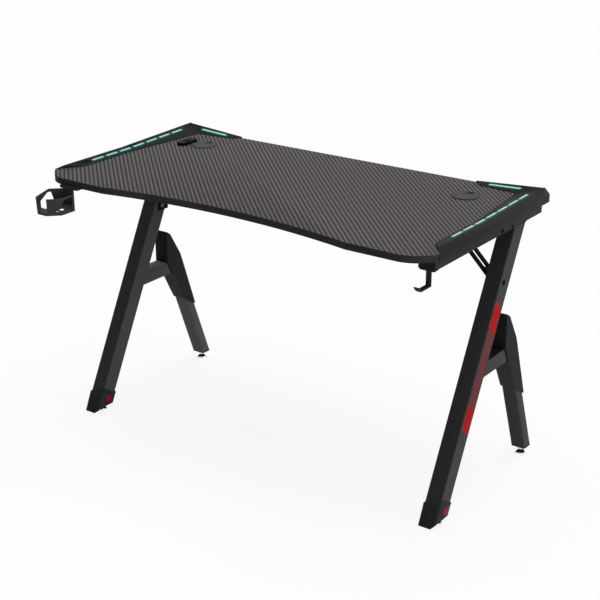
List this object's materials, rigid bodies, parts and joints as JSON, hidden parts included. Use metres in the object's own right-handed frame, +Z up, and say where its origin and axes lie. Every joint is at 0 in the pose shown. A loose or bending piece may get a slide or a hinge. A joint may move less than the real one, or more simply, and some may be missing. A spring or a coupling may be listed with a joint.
{
  "type": "gaming desk",
  "caption": "Gaming desk with a striped dark top, lit corner trims, K-shaped steel legs, a cup holder, a headphone hook and cable grommets.",
  "frame": {"origin": "on the floor, under the middle of the whole desk with its cup holder", "axes": "+X towards the right of the person sitting at it, +Y towards its back edge, +Z up"},
  "size_m": [1.203, 0.7369, 0.763],
  "materials": {
    "desktop": "board with a matte striped carbon-look laminate",
    "trim_black": "fine matte black moulding",
    "light_lens": "milky diffuser lit from below",
    "circuit_board": "white solder mask",
    "gloss_black": "polished black",
    "black_steel": "satin black powder coat",
    "dark_steel": "dull black powder coat",
    "grommet_grey": "fine matte dark grey moulding",
    "red_insert": "dark red moulding",
    "red_trim": "satin red",
    "bright_foot": "bright plated",
    "brass_nut": "machined",
    "dark_screw": "dark zinc plate"
  },
  "bodies": {
    "desk": {"desktop": "desktop", "left_corner_trim": "trim_black", "right_corner_trim": "trim_black", "left_leg_shroud": "trim_black", "right_leg_shroud": "trim_black", "left_foot_cap": "trim_black", "right_foot_cap": "trim_black", "left_rail_end_plugs": "trim_black", "right_rail_end_plugs": "trim_black", "left_rear_foot_plug": "trim_black", "right_rear_foot_plug": "trim_black", "cup_holder": "trim_black", "left_grommet_ring": "grommet_grey", "right_grommet_ring": "grommet_grey", "left_brace": "dark_steel", "right_brace": "dark_steel", "headphone_hook": "dark_steel", "left_foot_inserts": "red_insert", "right_foot_inserts": "red_insert", "left_light_lenses": "light_lens", "right_light_lenses": "light_lens", "left_led_boards": "circuit_board", "right_led_boards": "circuit_board", "light_control_board": "circuit_board", "light_control_housing": "gloss_black", "left_side_rail": "black_steel", "right_side_rail": "black_steel", "front_crossbeam": "black_steel", "rear_crossbeam": "black_steel", "left_front_leg": "black_steel", "right_front_leg": "black_steel", "left_rear_leg": "black_steel", "right_rear_leg": "black_steel", "left_leg_link": "black_steel", "right_leg_link": "black_steel", "left_leg_stripe": "red_trim", "right_leg_stripe": "red_trim", "leveller_nuts": "brass_nut", "desktop_screws": "dark_screw", "trim_screws": "dark_screw", "cup_holder_screws": "dark_screw", "hook_screws": "dark_screw", "crossbeam_bolts": "dark_screw", "brace_bolts": "dark_screw"},
    "left_grommet_cover": {"left_grommet_cap": "grommet_grey"},
    "right_grommet_cover": {"right_grommet_cap": "grommet_grey"},
    "light_switch": {"light_control_button": "gloss_black"},
    "front_left_foot": {"front_left_leveller": "bright_foot"},
    "front_right_foot": {"front_right_leveller": "bright_foot"},
    "rear_left_foot": {"rear_left_leveller": "bright_foot"},
    "rear_right_foot": {"rear_right_leveller": "bright_foot"}
  },
  "joints": [
    {"name": "left_grommet_turn", "type": "hinge", "parent": "desk", "child": "left_grommet_cover", "pos_m": [-0.43, 0.22055, 0.7455], "axis": [0, 0, 1], "continuous": true},
    {"name": "right_grommet_turn", "type": "hinge", "parent": "desk", "child": "right_grommet_cover", "pos_m": [0.43, 0.22055, 0.7455], "axis": [0, 0, 1], "continuous": true},
    {"name": "light_button_press", "type": "slide", "parent": "desk", "child": "light_switch", "axis": [0, 0, -1], "range_m": [0, 0.0012], "stiffness_N_per_m": 600},
    {"name": "front_left_levelling", "type": "slide", "parent": "desk", "child": "front_left_foot", "axis": [0, 0, -1], "range_m": [0, 0.012]},
    {"name": "front_right_levelling", "type": "slide", "parent": "desk", "child": "front_right_foot", "axis": [0, 0, -1], "range_m": [0, 0.012]},
    {"name": "rear_left_levelling", "type": "slide", "parent": "desk", "child": "rear_left_foot", "axis": [0, 0, -1], "range_m": [0, 0.012]},
    {"name": "rear_right_levelling", "type": "slide", "parent": "desk", "child": "rear_right_foot", "axis": [0, 0, -1], "range_m": [0, 0.012]}
  ]
}
